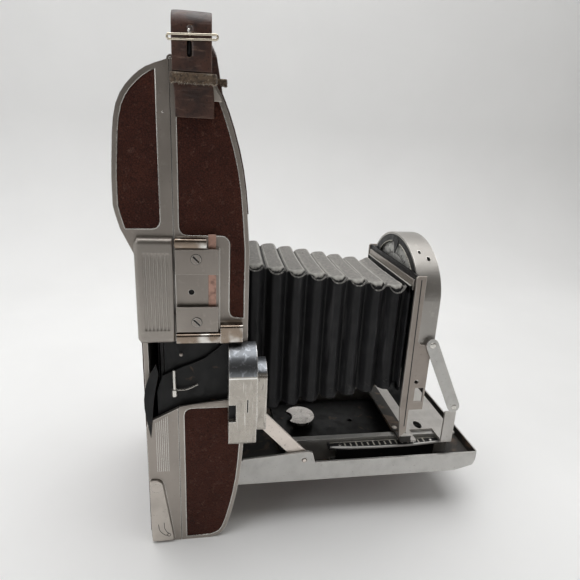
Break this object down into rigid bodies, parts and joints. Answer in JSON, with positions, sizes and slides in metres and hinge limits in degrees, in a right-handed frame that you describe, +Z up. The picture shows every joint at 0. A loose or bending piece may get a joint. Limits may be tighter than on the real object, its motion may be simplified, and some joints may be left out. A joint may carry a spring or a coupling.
{
  "type": "folding bellows camera",
  "caption": "Folding roll-film camera with a drop bed, pleated bellows, sliding lens standard, hinged film door, side viewfinder and leather hand strap.",
  "frame": {"origin": "middle of the width on the base the camera stands on, at the joint of front case and back door", "axes": "+Z up along the case, +Y towards the back door, -Y towards the lens, +X across the camera away from the viewfinder"},
  "size_m": [0.137, 0.221, 0.2856],
  "materials": {
    "satin_metal": "satin, fine vertical brushing, light wear",
    "chrome": "polished",
    "worn_aluminium": "matte, scratched and mottled",
    "pale_aluminium": "satin",
    "leatherette": "dark reddish brown grain",
    "strap_leather": "smooth brown, lighter cut edges",
    "black_paint": "worn black",
    "copper": "tarnished copper",
    "steel": "bright",
    "lens_glass": "coated",
    "bellows_cloth": "black leathercloth with dusty fold tops"
  },
  "bodies": {
    "camera_body": {"front_case": "satin_metal", "case_leather_near_upper": "leatherette", "case_leather_near_lower": "leatherette", "case_leather_far": "leatherette", "front_leather": "leatherette", "tripod_bush": "steel", "door_hinge_pin": "steel", "light_chamber": "black_paint", "film_gate": "black_paint", "bed_hinge_pin": "steel", "contact_strip": "copper", "shoe_jaw_upper": "satin_metal", "shoe_jaw_lower": "satin_metal", "shoe_screw_upper": "steel", "shoe_screw_lower": "steel", "shoe_bar_upper": "chrome", "shoe_bar_lower": "chrome", "light_trap_sheet": "black_paint", "trap_spring": "steel", "viewfinder_housing": "worn_aluminium", "viewfinder_frame": "worn_aluminium", "viewfinder_lens": "lens_glass", "hand_strap": "strap_leather", "strap_keeper": "strap_leather", "strap_buckle": "steel"},
    "supply_spool": {"supply_spool": "black_paint"},
    "negative_spool": {"negative_spool": "black_paint"},
    "inner_roller": {"spreader_roller_inner": "steel"},
    "back_door": {"back_door": "satin_metal", "door_leather_near": "leatherette", "door_leather_far": "leatherette", "back_leather": "leatherette", "ribbed_grip": "satin_metal", "trap_flap": "black_paint", "pressure_plate": "black_paint"},
    "door_latch": {"door_latch_lever": "pale_aluminium"},
    "outer_roller": {"spreader_roller_outer": "steel"},
    "bed": {"bed_tray": "pale_aluminium", "bed_leather": "leatherette", "bed_floor_plate": "black_paint", "focus_rail_near": "pale_aluminium", "focus_rail_far": "pale_aluminium", "distance_scale": "black_paint"},
    "infinity_catch": {"infinity_catch": "pale_aluminium"},
    "focus_lever": {"focus_lever": "chrome"},
    "struts": {"bed_strut_near": "pale_aluminium", "bed_strut_far": "pale_aluminium"},
    "carriage": {"carriage_plate": "satin_metal"},
    "standard": {"standard_frame": "pale_aluminium", "shutter_housing": "pale_aluminium", "dial_plate": "black_paint", "exposure_scale": "pale_aluminium", "scale_bar": "satin_metal", "lens_barrel": "black_paint", "lens_glass": "lens_glass", "bellows": "bellows_cloth"},
    "exposure_dial": {"exposure_dial": "chrome"},
    "shutter_release": {"shutter_release": "steel"},
    "braces": {"standard_brace_near": "satin_metal", "standard_brace_far": "satin_metal"}
  },
  "joints": [
    {"name": "bed_fold", "type": "hinge", "parent": "camera_body", "child": "bed", "pos_m": [0, -0.0305, 0.036], "axis": [-1, 0, 0], "range_deg": [0, 90], "deforming": ["bellows"]},
    {"name": "focus_slide", "type": "slide", "parent": "bed", "child": "carriage", "axis": [0, 1, 0], "range_m": [0, 0.012]},
    {"name": "standard_fold", "type": "hinge", "parent": "carriage", "child": "standard", "pos_m": [0, -0.093, 0.1105], "axis": [1, 0, 0], "range_deg": [0, 90]},
    {"name": "brace_fold", "type": "hinge", "parent": "standard", "child": "braces", "pos_m": [0, -0.15, 0.119], "axis": [1, 0, 0], "range_deg": [0, 38.07]},
    {"name": "strut_fold", "type": "hinge", "parent": "bed", "child": "struts", "pos_m": [0, -0.074, 0.045], "axis": [1, 0, 0], "range_deg": [0, 127.98]},
    {"name": "focus_lever_swing", "type": "hinge", "parent": "bed", "child": "focus_lever", "pos_m": [-0.04, -0.0945, 0.038], "axis": [0, 0, 1], "range_deg": [0, 12]},
    {"name": "infinity_catch_turn", "type": "hinge", "parent": "bed", "child": "infinity_catch", "pos_m": [0.003, -0.0805, 0.042], "axis": [0, 0, 1], "range_deg": [-35, 0]},
    {"name": "exposure_dial_turn", "type": "hinge", "parent": "standard", "child": "exposure_dial", "pos_m": [0, -0.154, 0.122], "axis": [0, 1, 0], "range_deg": [-120, 0]},
    {"name": "shutter_release_press", "type": "hinge", "parent": "standard", "child": "shutter_release", "pos_m": [0.02, -0.145, 0.163], "axis": [0, 1, 0], "range_deg": [0, 8]},
    {"name": "door_open", "type": "hinge", "parent": "camera_body", "child": "back_door", "pos_m": [0, 0.0008, 0.267], "axis": [1, 0, 0], "range_deg": [0, 95]},
    {"name": "door_latch_swing", "type": "hinge", "parent": "back_door", "child": "door_latch", "pos_m": [-0.06, 0.0144, 0.0406], "axis": [1, 0, 0], "range_deg": [0, 60]},
    {"name": "inner_roller_spin", "type": "hinge", "parent": "camera_body", "child": "inner_roller", "pos_m": [0, 0.0052, 0.021], "axis": [1, 0, 0], "continuous": true},
    {"name": "outer_roller_spin", "type": "hinge", "parent": "back_door", "child": "outer_roller", "pos_m": [0, 0.012, 0.021], "axis": [1, 0, 0], "continuous": true},
    {"name": "supply_spool_spin", "type": "hinge", "parent": "camera_body", "child": "supply_spool", "pos_m": [0, -0.008, 0.232], "axis": [1, 0, 0], "continuous": true},
    {"name": "negative_spool_spin", "type": "hinge", "parent": "camera_body", "child": "negative_spool", "pos_m": [0, -0.008, 0.014], "axis": [1, 0, 0], "continuous": true}
  ],
  "couplings": [
    {"joint": "standard_fold", "follows": "bed_fold", "ratio": 1},
    {"joint": "brace_fold", "follows": "bed_fold", "ratio": 0.423},
    {"joint": "strut_fold", "follows": "bed_fold", "ratio": 1.422}
  ]
}
